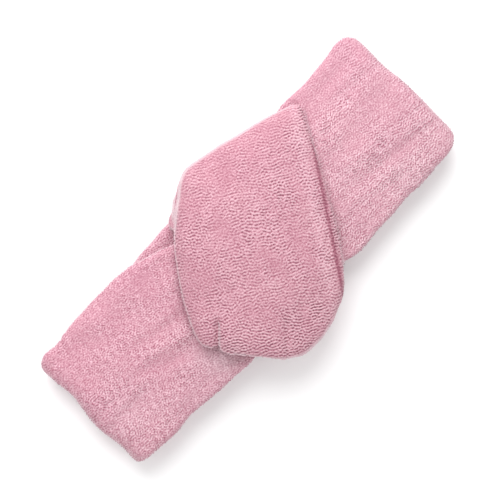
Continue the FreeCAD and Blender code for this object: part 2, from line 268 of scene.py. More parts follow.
def ribs(flat_points, seed):
    """Knot's pile: wavy ribs that branch, about 1.6 mm apart, lying across the slant."""
    angle = math.radians(51.0)
    direction = (math.cos(angle), math.sin(angle))
    rib = even_waves(flat_points, 60, 1.3, 1.72, seed, direction, 0.33)
    knots = even_waves(flat_points, 50, 1.15, 1.65, seed + 1)
    return rounded_tips(0.76 * rib + 0.42 * knots, 0.60)


def drape(points, seed, shortest=13.0, longest=46.0):
    """Soft unevenness of limp cloth."""
    return waves(points, 26, shortest, longest, seed)


def brushed(across, start, share):
    """Share of its height that the pile keeps: it lies flatter toward the top edge."""
    return 1 - share * smooth_step((across - start) / 28)


def ridge(along, across, start, end, width, height, fade):
    """A soft fold from a start to an end place, fading out past its ends."""
    start, end = np.array(start, float), np.array(end, float)
    run = end - start
    length = np.linalg.norm(run)
    run = run / length
    ahead = (along - start[0]) * run[0] + (across - start[1]) * run[1]
    aside = -(along - start[0]) * run[1] + (across - start[1]) * run[0]
    gone = np.maximum(np.maximum(-ahead, ahead - length), 0) / fade
    return height * np.exp(-(aside / width) ** 2 - gone ** 2)


# ================================================================ cloth simulation
def closed_faces(rows, columns, rows_closed):
    """Faces of a grid whose columns close, with capped ends unless its rows close too."""
    faces = []
    for r in range(rows if rows_closed else rows - 1):
        below = (r + 1) % rows
        start, end = r * columns, below * columns
        for c in range(columns):
            right = (c + 1) % columns
            faces.append((start + c, start + right, end + right, end + c))
    if not rows_closed:
        faces.append(tuple(reversed(range(columns))))
        faces.append(tuple((rows - 1) * columns + c for c in range(columns)))
    return faces


def set_terry_cloth(settings, pressure):
    """Limp, stretchy cloth that its padding presses out."""
    settings.quality = 6
    settings.mass = 0.25
    settings.tension_stiffness = 12
    settings.compression_stiffness = 12
    settings.shear_stiffness = 4
    settings.bending_stiffness = 0.4
    settings.use_pressure = True
    settings.uniform_pressure_force = pressure
    settings.shrink_min = -0.03
    settings.vertex_group_mass = "pinned"
    settings.effector_weights.gravity = 0


def puffed(name, grid, rows_closed, pinned, cap, pressure):
    """Puff a padded shape out as cloth, and give its points after the last frame."""
    rows, columns, _ = grid.shape
    mesh = bpy.data.meshes.new(name)
    mesh.from_pydata((grid.reshape(-1, 3) * MM).tolist(), [], closed_faces(rows, columns, rows_closed))
    mesh.update()
    cloth_object = bpy.data.objects.new(name, mesh)
    bpy.context.collection.objects.link(cloth_object)
    group = cloth_object.vertex_groups.new(name="pinned")
    for index, weight in enumerate(pinned.reshape(-1)):
        if weight > 0:
            group.add([index], float(weight), "REPLACE")
    cloth = cloth_object.modifiers.new("cloth", "CLOTH")
    set_terry_cloth(cloth.settings, pressure)
    last_frame = 20
    cloth.point_cache.frame_start, cloth.point_cache.frame_end = 1, last_frame
    scene = bpy.context.scene
    for step in range(1, last_frame + 1):
        scene.frame_set(step)
    evaluated = cloth_object.evaluated_get(bpy.context.evaluated_depsgraph_get())
    flat = np.empty(len(evaluated.data.vertices) * 3, np.float32)
    evaluated.data.vertices.foreach_get("co", flat)
    result = flat.reshape(rows, columns, 3).astype(float) / MM
    scene.frame_set(1)
    bpy.data.objects.remove(cloth_object)
    bpy.data.meshes.remove(mesh)
    move = result - grid
    size = np.linalg.norm(move, axis=2, keepdims=True)
    return grid + move * np.minimum(1, cap / np.maximum(size, 1e-9))


def puffed_half(name, grid, side, held_rows, pressure):
    """Put half of a tube on its side and puff it out, with both ends held."""
    grid[..., 0] *= SIDES[side]
    if SIDES[side] < 0:
        grid = grid[:, ::-1]
    pinned = np.zeros(grid.shape[:2])
    pinned[:held_rows] = 1
    pinned[-2:] = 1
    return puffed(name, grid, False, pinned, PUFF_CAP, pressure)


# ================================================================ meshes
def make_piece(name, points, faces, attributes=None):
    """Smooth mesh object, with each attribute's value at each point."""
    mesh = bpy.data.meshes.new(name)
    mesh.from_pydata((points * MM).tolist(), [], faces)
    mesh.polygons.foreach_set("use_smooth", [True] * len(mesh.polygons))
    for key, values in (attributes or {}).items():
        attribute = mesh.attributes.new(key, "FLOAT", "POINT")
        attribute.data.foreach_set("value", values.reshape(-1).astype(np.float32))
    mesh.update()
    mesh.validate()
    piece = bpy.data.objects.new(name, mesh)
    bpy.context.collection.objects.link(piece)
    return piece


def sliced(name, grid, looks, first, last):
    """Closed piece of a grid, from one row to another, with its looks at each point."""
    part = grid[first:last + 1]
    rows, columns, _ = part.shape
    kept = {key: values[first:last + 1] for key, values in looks.items()}
    return make_piece(name, part.reshape(-1, 3), closed_faces(rows, columns, False), kept)


def looks_of(normal, pile, depth=1.0):
    """What the materials read: the pile's height, and painted sheen where the cloth rolls over an
    edge.
    """
    level = abs(normal[..., 2])
    rolling = smooth_step((0.66 - level) / 0.4)
    upright = smooth_step((0.34 - level) / 0.3)
    # Painted sheen: pale where the cloth slopes away over an edge, less where it stands upright.
    painted_sheen = rolling * (1 - 0.8 * upright)
    return {"pile": np.clip(0.5 + 0.5 * pile * depth, 0, 1), "painted_sheen": painted_sheen}


def tube(name, points, radius, sides=6):
    """Round thread along points."""
    points = np.array(points, float)
    ahead = np.gradient(points, axis=0)
    ahead /= np.linalg.norm(ahead, axis=1, keepdims=True)
    helper = np.array([0.31, 0.17, 0.94])
    first = np.cross(ahead, helper)
    first /= np.linalg.norm(first, axis=1, keepdims=True)
    second = np.cross(ahead, first)
    angles = (np.arange(sides) * 2 * math.pi / sides)[None, :, None]
    ring = first[:, None] * np.cos(angles) + second[:, None] * np.sin(angles)
    grid = points[:, None] + radius * ring
    return make_piece(name, grid.reshape(-1, 3), closed_faces(len(points), sides, False))


def zigzag(name, start, end, sway, lift, pitch, radius):
    """Overlocked stitches from a start to an end, swaying to each side over a seam."""
    start, end, sway, lift = (np.array(v, float) for v in (start, end, sway, lift))
    length = np.linalg.norm(end - start)
    turns = int(length / pitch)
    phase = np.linspace(0, turns * 2 * math.pi, turns * 10 + 1)
    share = (phase / phase[-1])[:, None]
    swing = np.sin(phase)[:, None]
    rise = np.cos(phase)[:, None] ** 2
    return tube(name, start + (end - start) * share + sway * swing + lift * rise, radius)


# ================================================================ materials
FIBRE_SHARE = 1.42            # how strongly single fibres change the height that is coloured
PAINTED_SHEEN_SHARE = 0.62              # how much of the painted sheen on rolled edges shows
# Pale colour of the painted sheen on rolled edges.
PAINTED_SHEEN_COLOUR = (0.80, 0.66, 0.70)


def new_material(name, roughness):
    """New material, its node tree and its shader."""
    material = bpy.data.materials.new(name)
    material.use_nodes = True
    shader = material.node_tree.nodes["Principled BSDF"]
    shader.inputs["Roughness"].default_value = roughness
    return material, material.node_tree, shader


def add_node(tree, kind, **values):
    node = tree.nodes.new(kind)
    for key, value in values.items():
        setattr(node, key, value)
    return node


def colour_ramp(tree, factor, first, last, start=0.0, end=1.0):
    """Colour that goes from first to last while its factor goes from start to end."""
    ramp = add_node(tree, "ShaderNodeValToRGB")
    ramp.color_ramp.elements[0].position = start
    ramp.color_ramp.elements[0].color = (*first, 1)
    ramp.color_ramp.elements[1].position = end
    ramp.color_ramp.elements[1].color = (*last, 1)
    tree.links.new(factor, ramp.inputs["Fac"])
    return ramp


def add_bump(tree, shader, height, strength, distance):
    """Relief too fine for the mesh."""
    bump = add_node(tree, "ShaderNodeBump")
    bump.inputs["Strength"].default_value = strength
    bump.inputs["Distance"].default_value = distance * MM
    tree.links.new(height, bump.inputs["Height"])
    tree.links.new(bump.outputs["Normal"], shader.inputs["Normal"])


def multiplied(tree, first, second):
    """Product of two colours."""
    mix = add_node(tree, "ShaderNodeMix", data_type="RGBA", blend_type="MULTIPLY")
    mix.inputs["Factor"].default_value = 1.0
    tree.links.new(first, mix.inputs["A"])
    tree.links.new(second, mix.inputs["B"])
    return mix.outputs["Result"]


def drift(tree, position, reach, first, last):
    """Slow change of colour from one side of the headband to the other."""
    span = add_node(tree, "ShaderNodeMapRange")
    span.inputs["From Min"].default_value = reach[0] * MM
    span.inputs["From Max"].default_value = reach[1] * MM
    tree.links.new(position, span.inputs["Value"])
    return colour_ramp(tree, span.outputs["Result"], first, last).outputs["Color"]


def roughened_height(tree, fibres):
    """Height of the pile from pit to tip, made rough by single fibres."""
    height = add_node(tree, "ShaderNodeAttribute", attribute_name="pile")
    lowered = add_node(tree, "ShaderNodeMath", operation="SUBTRACT")
    lowered.inputs[1].default_value = FIBRE_SHARE / 2
    tree.links.new(height.outputs["Fac"], lowered.inputs[0])
    rough = add_node(tree, "ShaderNodeMath", operation="MULTIPLY_ADD")
    rough.inputs[1].default_value = FIBRE_SHARE
    tree.links.new(fibres, rough.inputs[0])
    tree.links.new(lowered.outputs[0], rough.inputs[2])
    return rough.outputs[0]


def dyed_and_painted_light(tree, colour, place, patch_scale, painted_low_shade, painted_top_light):
    """Dye that varies in small patches, painted light and shade across the headband, and a slow change
    of colour along it.
    """
    patches = add_node(tree, "ShaderNodeTexNoise")
    patches.inputs["Scale"].default_value = patch_scale
    patches.inputs["Detail"].default_value = 3.0
    tree.links.new(place, patches.inputs["Vector"])
    tint = colour_ramp(tree, patches.outputs["Fac"], (0.97, 0.93, 0.95), (1.03, 1.04, 1.03), 0.3, 0.72)
    parts = add_node(tree, "ShaderNodeSeparateXYZ")
    tree.links.new(place, parts.inputs[0])
    # Painted light and shade: lighter toward the top edge, on the key light's side, and darker toward
    # the low edge.
    across = drift(tree, parts.outputs["Y"], (LOW_EDGE, TOP_EDGE), painted_low_shade, painted_top_light)
    # Slightly paler toward the +X end.
    reach = (-FOLD_ALONG, FOLD_ALONG)
    along = drift(tree, parts.outputs["X"], reach, (0.99, 0.96, 0.97), (1.01, 1.04, 1.03))
    colour = multiplied(tree, colour, tint.outputs["Color"])
    return multiplied(tree, multiplied(tree, colour, across), along)


def with_painted_sheen(tree, colour):
    """Painted sheen: the pale look of loose fibres where the cloth rolls over an edge, mixed into the
    colour.
    """
    edge = add_node(tree, "ShaderNodeAttribute", attribute_name="painted_sheen")
    share = add_node(tree, "ShaderNodeMath", operation="MULTIPLY")
    share.inputs[1].default_value = PAINTED_SHEEN_SHARE
    tree.links.new(edge.outputs["Fac"], share.inputs[0])
    mix = add_node(tree, "ShaderNodeMix", data_type="RGBA")
    mix.inputs["B"].default_value = (*PAINTED_SHEEN_COLOUR, 1)
    tree.links.new(share.outputs[0], mix.inputs["Factor"])
    tree.links.new(colour, mix.inputs["A"])
    return mix.outputs["Result"]


def terry_material(name, shaded_pit, body, lit_tip, patch_scale, painted_low_shade, painted_top_light):
    """Looped pile: painted shade in the pits, painted highlight on the tips, uneven dye with painted
    light across the band, and fine fibres.
    """
    material, tree, shader = new_material(name, 0.93)
    shader.inputs["Specular IOR Level"].default_value = 0.18
    shader.inputs["Sheen Weight"].default_value = 0.6
    shader.inputs["Sheen Roughness"].default_value = 0.35
    shader.inputs["Sheen Tint"].default_value = (1.0, 0.93, 0.94, 1)
    place = add_node(tree, "ShaderNodeTexCoord").outputs["Object"]
    fibres = add_node(tree, "ShaderNodeTexNoise")
    fibres.inputs["Scale"].default_value = 1500.0
    fibres.inputs["Detail"].default_value = 4.0
    fibres.inputs["Roughness"].default_value = 0.65
    tree.links.new(place, fibres.inputs["Vector"])
    height = roughened_height(tree, fibres.outputs["Fac"])
    # Colour from pit to tip: darker in the pile's hollows as painted shade, paler on its tips as
    # painted highlight.
    ramp = colour_ramp(tree, height, shaded_pit, lit_tip, 0.1, 0.95)
    ramp.color_ramp.elements.new(0.55).color = (*body, 1)
    colour = dyed_and_painted_light(tree, ramp.outputs["Color"], place, patch_scale, painted_low_shade, painted_top_light)
    tree.links.new(with_painted_sheen(tree, colour), shader.inputs["Base Color"])
    add_bump(tree, shader, fibres.outputs["Fac"], 0.7, 0.5)
    return material


def banded_material(name, roughness, direction, scale, distortion, dark, light, depth):
    """Yarns side by side: bands of a dark and a light colour, with their own relief."""
    material, tree, shader = new_material(name, roughness)
    place = add_node(tree, "ShaderNodeTexCoord")
    bands = add_node(tree, "ShaderNodeTexWave", wave_type="BANDS", bands_direction=direction)
    bands.inputs["Scale"].default_value = scale
    bands.inputs["Distortion"].default_value = distortion
    tree.links.new(place.outputs["Object"], bands.inputs["Vector"])
    ramp = colour_ramp(tree, bands.outputs["Fac"], dark, light)
    tree.links.new(ramp.outputs["Color"], shader.inputs["Base Color"])
    add_bump(tree, shader, bands.outputs["Fac"], 1.0, depth)
    return material


def thread_material(name, colour):
    """Spun thread: fine twist and a soft satin gloss."""
    shade = [0.72 * part for part in colour]
    material = banded_material(name, 0.55, "DIAGONAL", 900.0, 1.5, shade, colour, 0.1)
    shader = material.node_tree.nodes["Principled BSDF"]
    shader.inputs["Sheen Weight"].default_value = 0.3
    return material


def elastic_material(name):
    """Woven elastic: ribs along the band with a rubbery cream yarn."""
    dark, light = (0.55, 0.51, 0.47), (0.86, 0.83, 0.79)
    return banded_material(name, 0.7, "Y", 260.0, 0.6, dark, light, 0.3)


BAND_TERRY = terry_material(
    "band_terry", shaded_pit=(0.34, 0.11, 0.16), body=(0.53, 0.27, 0.33), lit_tip=(0.76, 0.53, 0.59),
    patch_scale=42.0, painted_low_shade=(0.97, 1.0, 0.985), painted_top_light=(1.09, 1.06, 1.075),
)
KNOT_TERRY = terry_material(
    "knot_terry", shaded_pit=(0.29, 0.09, 0.135), body=(0.50, 0.235, 0.29), lit_tip=(0.72, 0.46, 0.52),
    patch_scale=54.6, painted_low_shade=(0.93, 0.94, 0.935), painted_top_light=(1.04, 1.03, 1.04),
)
THREAD = thread_material("thread", (0.78, 0.44, 0.52))
ELASTIC = elastic_material("elastic")


def finish_piece(piece, material):
    """Give a piece its material."""
    piece.data.materials.append(material)
    return piece


# ================================================================ band
TOP_LENGTH = FOLD_ALONG
TURN_RADIUS = FOLD_RADIUS - BAND_THICK / 2
TURN_LENGTH = math.pi * TURN_RADIUS
UNDER_LENGTH = FOLD_ALONG - SEAM_ALONG
PATH_LENGTH = TOP_LENGTH + TURN_LENGTH + UNDER_LENGTH

# Band's edges: distance along the path from the middle of the knot, top edge, low edge.
EDGES = {
    "left": [
        (0, 27, -31), (16, 29, -34), (22, 30.0, -37.6), (30, 32.0, -41.4), (38, 34.4, -42.2),
        (46, 36.8, -41.9), (58, 38.4, -41.2), (72, 39.8, -39.9), (84, 39.1, -39.6),
        (96, 38.2, -39.3), (106, 36.8, -38.9), (112, 37.5, -38.8), (119.8, 34.8, -36.6),
        (128, 35.4, -38.5), (136, 35.4, -39.4), (148, 35.6, -39.6),
    ],
    "right": [
        (0, 27, -31), (16, 29, -34), (30, 32, -40.5), (38, 34, -42.8), (46, 35.4, -42.4),
        (56, 37.4, -41.6), (66, 38.9, -41.5), (74, 38.3, -41.7), (84, 38.1, -41.4),
        (98, 39.2, -41.1), (108, 41.0, -41.2), (114, 40.6, -40.0), (119.8, 36.0, -35.8),
        (128, 35.5, -38.0), (136, 35.4, -39.4), (148, 35.6, -39.6),
    ],
}

# Soft folds in the front of each arm: start, end, width, height and fade.
FOLDS = {
    "left": [
        ((-46, -1), (-70, 5), 4.0, 1.2, 12),
        ((-60, -16), (-76, -9), 3.6, 1.1, 11),
        ((-54, -8), (-68, -4), 2.8, -1.0, 9),
        ((-50, -28), (-78, -24), 4.0, -0.6, 14),
        ((-48, -36), (-78, -34), 5.0, 0.6, 14),
        ((-60, 20), (-100, 24), 8.0, 0.5, 20),
        ((-92, -33), (-106, -34), 5.0, -0.7, 10),
        ((-84, -20), (-110, -16), 7.0, 0.4, 14),
    ],
    "right": [
        ((71, 27), (29, -41), 1.3, -2.6, 5),
        ((64, 0), (104, 3), 7.0, 1.0, 14),
        ((80, -11), (96, -14), 5.5, -0.9, 14),
        ((58, -17), (98, -22), 3.6, 0.5, 14),
        ((70, -25), (86, -27), 4.0, -0.6, 12),
        ((84, -35), (104, -34), 4.0, -0.5, 14),
        ((70, 28), (104, 32), 7.0, 0.7, 14),
        ((76, 17), (96, 19), 4.0, -0.4, 14),
    ],
}

# Pale patches on the arms: along, across, radius and amount. The first on the left is painted light
# that lifts the shade under the wrap's foot.
PALE_AND_LIT_PATCHES = {
    "left": [(-49, -31, 9, 0.42), (-56, -20, 7, 0.15), (-101, -14, 13, 0.16), (-74, -34, 10, 0.10)],
    "right": [(86, -36, 10, 0.10), (60, -4, 12, 0.06)],
}


def band_place(distance):
    """Middle of the band and its outward direction, in the X-Z plane, on the +X side."""
    if distance <= TOP_LENGTH:
        return (distance, ARM_HIGH - BAND_THICK / 2), (0.0, 1.0)
    if distance <= TOP_LENGTH + TURN_LENGTH:
        angle = (distance - TOP_LENGTH) / TURN_RADIUS
        out = (math.sin(angle), math.cos(angle))
        return (FOLD_ALONG + TURN_RADIUS * out[0], FOLD_RADIUS + TURN_RADIUS * out[1]), out
    return (FOLD_ALONG - (distance - TOP_LENGTH - TURN_LENGTH), BAND_THICK / 2), (0.0, -1.0)


def end_wave(across, side):
    """How far the uneven line of an end fold stands out along the band."""
    if side == "left":
        dip = 2.1 * np.exp(-((across - 12) / 10) ** 2)
        return 0.3 - dip - 0.045 * np.clip(across - 22, 0, None) + 0.5 * np.cos(across / 8.5)
    dip = 1.3 * np.exp(-((across - 11) / 10) ** 2)
    return 0.5 - dip + 0.5 * np.cos(across / 9.5)


def band_grid(side):
    """Half of the band as a padded tube, from the knot to the side seam."""
    across, lift = flat_oval(COLUMNS, TOP_EDGE - LOW_EDGE, PLY, 0.64)
    distances = np.linspace(0, PATH_LENGTH, int(PATH_LENGTH / COARSE) + 1)
    table = np.array(EDGES[side])
    tops = np.interp(distances, table[:, 0], table[:, 1])
    lows = np.interp(distances, table[:, 0], table[:, 2])
    grid = np.zeros((len(distances), COLUMNS, 3))
    offset = lift * PLY / 2
    for row, distance in enumerate(distances):
        (along, up), out = band_place(distance)
        middle = (tops[row] + lows[row]) / 2
        half = (tops[row] - lows[row]) / 2
        grid[row, :, 0] = along + out[0] * offset
        grid[row, :, 1] = middle + half * across
        grid[row, :, 2] = up + out[1] * offset
    reach = smooth_step((grid[..., 0] - 0.82 * FOLD_ALONG) / (0.26 * FOLD_ALONG))
    grid[..., 0] += reach * end_wave(grid[..., 1], side)
    return distances, puffed_half("puff_" + side, grid, side, 6, 3.0)


def band_relief(path, fine, front, folds, seed):
    """Height of the band's folds, gathers, unevenness and side seam."""
    along, across = fine[..., 0], fine[..., 1]
    gather = np.exp(-(np.maximum(path[:, None] - 22, 0) / 9) ** 2)
    pleats = np.cos(across / 1.55 + 0.9 * np.sin(along / 9.0))
    lengthwise = waves(fine * (0.2, 1, 0.6), 24, 6.0, 14.0, seed + 7)
    seam = np.exp(-((path[:, None] - PATH_LENGTH) / 2.2) ** 2)
    relief = folds + 0.55 * gather * pleats
    relief += 0.30 * drape(fine, seed) + 0.16 * front * lengthwise
    return relief - SEAM_SINK * seam


def band_surface(side):
    """Fine surface of half of the band, with its folds, gathers and pile."""
    distances, coarse = band_grid(side)
    fine = upsample(upsample(coarse, 0, BAND_FINE, False), 1, AROUND_FINE, True)
    path = upsample(distances[:, None], 0, BAND_FINE, False)[:, 0]
    normal = surface_normals(fine, False)
    seed = 11 if side == "left" else 23
    front = smooth_step((fine[..., 2] - ARM_LOW) / (BAND_THICK - 1.5))
    along, across = fine[..., 0], fine[..., 1]
    folds = sum(ridge(along, across, *fold) for fold in FOLDS[side]) * front
    fine = fine + normal * band_relief(path, fine, front, folds, seed)[..., None]
    normal = surface_normals(fine, False)
    pile = grain(unrolled(path, fine), seed + 2)
    depth = 0.85 + 0.16 * waves(fine, 20, 9.0, 24.0, seed + 5) - 0.4 * folds
    depth = np.clip(depth, 0.45, 1.3) * brushed(across, 6, 0.25)
    fine = fine + normal * (LOOP_HEIGHT * pile * depth)[..., None]
    fine[..., 2] = np.maximum(fine[..., 2], JUST_ABOVE_FLOOR)
    looks = looks_of(normal, pile, depth)
    # Less painted sheen on the end folds.
    looks["painted_sheen"] *= 1 - 0.55 * smooth_step((abs(along) - FOLD_ALONG) / 5)
    # Pale patches added to the painted sheen; the first on the left is painted light over the shade
    # under the wrap's foot.
    for x, y, radius, amount in PALE_AND_LIT_PATCHES[side]:
        looks["painted_sheen"] += amount * front * np.exp(-((along - x) ** 2 + (across - y) ** 2) / radius ** 2)
    return path, fine, looks


def make_band_half(side):
    """Front, upper fold and lower fold of one arm, cut from one surface."""
    path, surface, looks = band_surface(side)
    split = int(np.argmin(abs(path - SPLIT_ALONG)))
    turn = int(np.argmin(abs(path - (TOP_LENGTH + TURN_LENGTH / 2))))
    last = len(path) - 1

    front = sliced(f"band_{side}_front", surface, looks, 0, split)
    finish_piece(front, BAND_TERRY)
    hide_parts(f"front_{side}_outer", f"front_{side}_lining")
    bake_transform(front)

    upper = sliced(f"band_{side}_fold_upper", surface, looks, split, turn)
    finish_piece(upper, BAND_TERRY)
    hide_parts(f"arm_{side}_outer", f"arm_{side}_lining", f"fold_{side}_outer")
    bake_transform(upper)

    lower = sliced(f"band_{side}_fold_lower", surface, looks, turn, last)
    finish_piece(lower, BAND_TERRY)
    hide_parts(f"tab_{side}_outer", f"tab_{side}_lining", f"fold_{side}_lining")
    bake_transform(lower)


# ================================================================ back casing
# Casing's edges: distance from the centre-back seam, top edge, low edge.
BACK_EDGES = {
    "left": [
        (0, 36.4, -38.6), (14, 38.8, -38.8), (26, 39.8, -39.0), (40, 39.6, -39.4), (52, 38.0, -39.4),
        (66, 34.4, -39.4), (80, 33.8, -39.6), (92, 35.6, -39.6),
    ],
    "right": [
        (0, 36.4, -38.6), (20, 34.4, -39.0), (40, 32.0, -39.4), (60, 31.0, -39.6), (80, 32.2, -39.6),
        (92, 35.6, -39.6),
    ],
}


def casing_grid(side):
    """Half of the casing as a padded tube, from the centre-back to the side seam."""
    across, lift = flat_oval(COLUMNS, TOP_EDGE - LOW_EDGE, PLY, 0.5)
    places = np.linspace(0, SEAM_ALONG, int(SEAM_ALONG / COARSE) + 1)
    table = np.array(BACK_EDGES[side])
    grid = np.zeros((len(places), COLUMNS, 3))
    for row, place in enumerate(places):
        top = np.interp(place, table[:, 0], table[:, 1])
        bottom = np.interp(place, table[:, 0], table[:, 2])
        grid[row, :, 0] = place
        grid[row, :, 1] = (top + bottom) / 2 + (top - bottom) / 2 * across
        grid[row, :, 2] = BAND_THICK / 2 - lift * PLY / 2
    return puffed_half("puff_casing_" + side, grid, side, 2, 2.0)


def casing_relief(fine, seed):
    """Height of the gathers that the elastic draws up, and of the seams and tack."""
    along = abs(fine[..., 0])
    pleats = np.cos(along / 1.9 + 1.4 * np.sin(fine[..., 1] / 11.0))
    relief = 0.42 * pleats * np.exp(-(fine[..., 1] / 30.0) ** 4) + 0.3 * drape(fine, seed)
    relief -= SEAM_SINK * np.exp(-((along - SEAM_ALONG) / 2.2) ** 2)
    relief -= 0.8 * np.exp(-(along / 1.6) ** 2)
    over_elastic = abs(fine[..., 1]) < 27
    return relief - 0.9 * np.exp(-((along - TACK_ALONG) / 1.4) ** 2) * over_elastic


def casing_surface(side):
    """Fine surface of half of the casing, with its gathers and pile."""
    fine = upsample(upsample(casing_grid(side), 0, CASING_FINE, False), 1, AROUND_FINE, True)
    normal = surface_normals(fine, False)
    if (normal[..., 2] * (fine[..., 2] - BAND_THICK / 2)).mean() < 0:
        raise RuntimeError("the casing's surface is inside out")
    drape_seed, pile_seed = (41, 61) if side == "left" else (57, 67)
    lengths = abs(fine[..., 0]).mean(axis=1)
    fine = fine + normal * casing_relief(fine, drape_seed)[..., None]
    normal = surface_normals(fine, False)
    pile = grain(unrolled(lengths, fine), pile_seed)
    fine = fine + normal * (LOOP_HEIGHT * 0.85 * pile)[..., None]
    fine[..., 2] = np.maximum(fine[..., 2], JUST_ABOVE_FLOOR)
    return fine, looks_of(normal, pile)


def make_casing(side):
    """Half of the back casing."""
    surface, looks = casing_surface(side)
    piece = sliced(f"casing_{side}_cloth", surface, looks, 0, len(surface) - 1)
    finish_piece(piece, BAND_TERRY)
    centre_node = "casing_centre_outer" if side == "left" else "casing_centre_inner"
    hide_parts(f"casing_{side}_outer", f"casing_{side}_inner", centre_node)
    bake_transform(piece)


# ================================================================ wrap
# The panel's outline on the front, as four runs of places along and across.
LEFT_EDGE = [
    (-30.6, -40.4), (-36.0, -35.4), (-41.6, -30.3), (-44.8, -25.4), (-49.2, -23.4), (-51.6, -19.1),
    (-49.7, -12.8), (-41.8, 2.2), (-30.6, 17.8), (-17.4, 30.6),
]
RIGHT_EDGE = [
    (22.4, -41.6), (35.6, -31.4), (50.6, -8.3), (62.8, 13.2), (69.8, 26.4), (74.0, 32.8),
]
PANEL_HIGH = 96.0             # from foot to crown
FOOT_EDGE = [
    (-30.6, -40.4), (-27.4, -46.4), (-21.4, -54.8), (-15.6, -57.6), (-8.8, -57.2), (0.0, -56.2),
    (7.6, -54.2), (16.2, -48.8), (22.4, -41.6),
]
CROWN_EDGE = [
    (-17.4, 30.6), (-9.6, 36.0), (-0.6, 43.6), (8.6, 49.6), (17.0, 48.6), (30.0, 44.8),
    (53.0, 39.0), (74.0, 32.8),
]


def panel_place(share, rise):
    """Plan of the panel: share from left edge to right, rise from foot to crown."""
    a, b = np.broadcast_arrays(share, rise)
    shape = a.shape
    a, b = a.reshape(-1), b.reshape(-1)
    foot, crown = through(FOOT_EDGE, a), through(CROWN_EDGE, a)
    left, right = through(LEFT_EDGE, b), through(RIGHT_EDGE, b)
    left_foot, left_crown = np.array(LEFT_EDGE[0]), np.array(LEFT_EDGE[-1])
    right_foot, right_crown = np.array(RIGHT_EDGE[0]), np.array(RIGHT_EDGE[-1])
    a, b = a[:, None], b[:, None]
    flat = (1 - b) * foot + b * crown + (1 - a) * left + a * right
    flat -= (1 - a) * (1 - b) * left_foot + a * (1 - b) * right_foot
    flat -= (1 - a) * b * left_crown + a * b * right_crown
    return flat.reshape(shape + (2,))


def wrap_rows(share):
    """Control rows round the wrap, each a place in plan, a height and a thickness."""
    strap_x = (2 * share - 1) * (STRAP_REACH - 1)
    fullness = np.clip(1 - abs(2 * share - 1) ** 3.2, 0, 1) ** 0.75
    resting = ARM_HIGH + 0.4 + WRAP_EDGE_PLY / 2
    crest = WRAP_HIGH - 1.2 - WRAP_PLY / 2
    inset = WRAP_PLY / 2 / PANEL_HIGH

    def strap(across, up):
        """Row under the band."""
        return np.stack([strap_x, np.full_like(share, across), np.full_like(share, up)], axis=-1)

    def panel(rise, height):
        """Row on the front, full in its middle and resting on the arms at its edges."""
        flat = panel_place(share, np.full_like(share, rise))
        up = resting + (height - resting) * fullness
        return np.concatenate([flat, up[:, None]], axis=1)

    def turned(rise, pull, up, strap_across):
        """Row that turns round the band's edge, pulled in toward the strap."""
        flat = panel_place(share, np.full_like(share, rise))
        under = np.stack([strap_x, np.full_like(share, strap_across)], axis=-1)
        flat = flat * (1 - pull) + under * pull
        return np.concatenate([flat, np.full_like(share, up)[:, None]], axis=1)

    strap_up = STRAP_LOW + 2.3
    return [
        (strap(0, strap_up), 4.2),
        (strap(20, strap_up), 4.2),
        (strap(33, strap_up + 0.2), 4.4),
        (turned(1 - inset, 0.62, strap_up + 0.8, 43), 5.0),
        (turned(1 - inset * 0.6, 0.22, 14.0, 44), 6.0),
        (turned(1 - inset * 0.5, 0.0, 21.5, 44), WRAP_PLY),
        (panel(0.955, 27.0), WRAP_PLY),
        (panel(0.88, crest - 0.8), WRAP_PLY),
        (panel(0.76, crest), WRAP_PLY),
        (panel(0.62, crest + 0.2), WRAP_PLY),
        (panel(0.50, crest), WRAP_PLY),
        (panel(0.38, crest), WRAP_PLY),
        (panel(0.24, crest), WRAP_PLY),
        (panel(0.12, crest - 0.8), WRAP_PLY),
        (panel(0.045, 27.0), WRAP_PLY),
        (turned(inset * 0.5, 0.0, 21.5, -47), WRAP_PLY),
        (turned(inset * 0.6, 0.22, 14.0, -47), 6.0),
        (turned(inset, 0.62, strap_up + 0.8, -46), 5.0),
        (strap(-36, strap_up + 0.2), 4.4),
        (strap(-22, strap_up), 4.2),
    ]


def sheet_normals(sheet):
    """Unit normals of a thin loop of cloth, evened out from edge to edge."""
    along = np.roll(sheet, -1, axis=0) - np.roll(sheet, 1, axis=0)
    sideways = np.gradient(sheet, axis=1)
    normal = np.cross(sideways, along)
    normal /= np.maximum(np.linalg.norm(normal, axis=2, keepdims=True), 1e-9)
    even = np.array(normal)
    for _ in range(3):
        even = (np.roll(even, 1, axis=1) + even + np.roll(even, -1, axis=1)) / 3
    even[:, :3], even[:, -3:] = normal[:, 3:4], normal[:, -4:-3]
    return even / np.linalg.norm(even, axis=2, keepdims=True)


def wrap_grid():
    """Wrap as a padded loop: rows round the band, columns round its own section."""
    across, lift = flat_oval(COLUMNS, 92, WRAP_PLY, 0.72)
    across, lift = across[::-1], -lift[::-1]
    share = (across + 1) / 2
    rows = wrap_rows(share)
    middle = upsample(np.stack([points for points, _ in rows]), 0, WRAP_SPANS, True)
    thick = np.array([value for _, value in rows])
    thick = upsample(thick[:, None], 0, WRAP_SPANS, True)[:, 0]
    order = np.argsort(share)
    normal = np.empty_like(middle)
    normal[:, order] = sheet_normals(middle[:, order])
    taper = 1 - (1 - WRAP_EDGE_PLY / WRAP_PLY) * abs(across) ** 4
    grid = middle + normal * ((lift * taper)[None, :, None] * thick[:, None, None] / 2)
    pinned = np.zeros(grid.shape[:2])
    pinned[grid[..., 2] < ARM_LOW] = 1
    return puffed("puff_wrap", grid, True, pinned, WRAP_PUFF_CAP, 2.5)


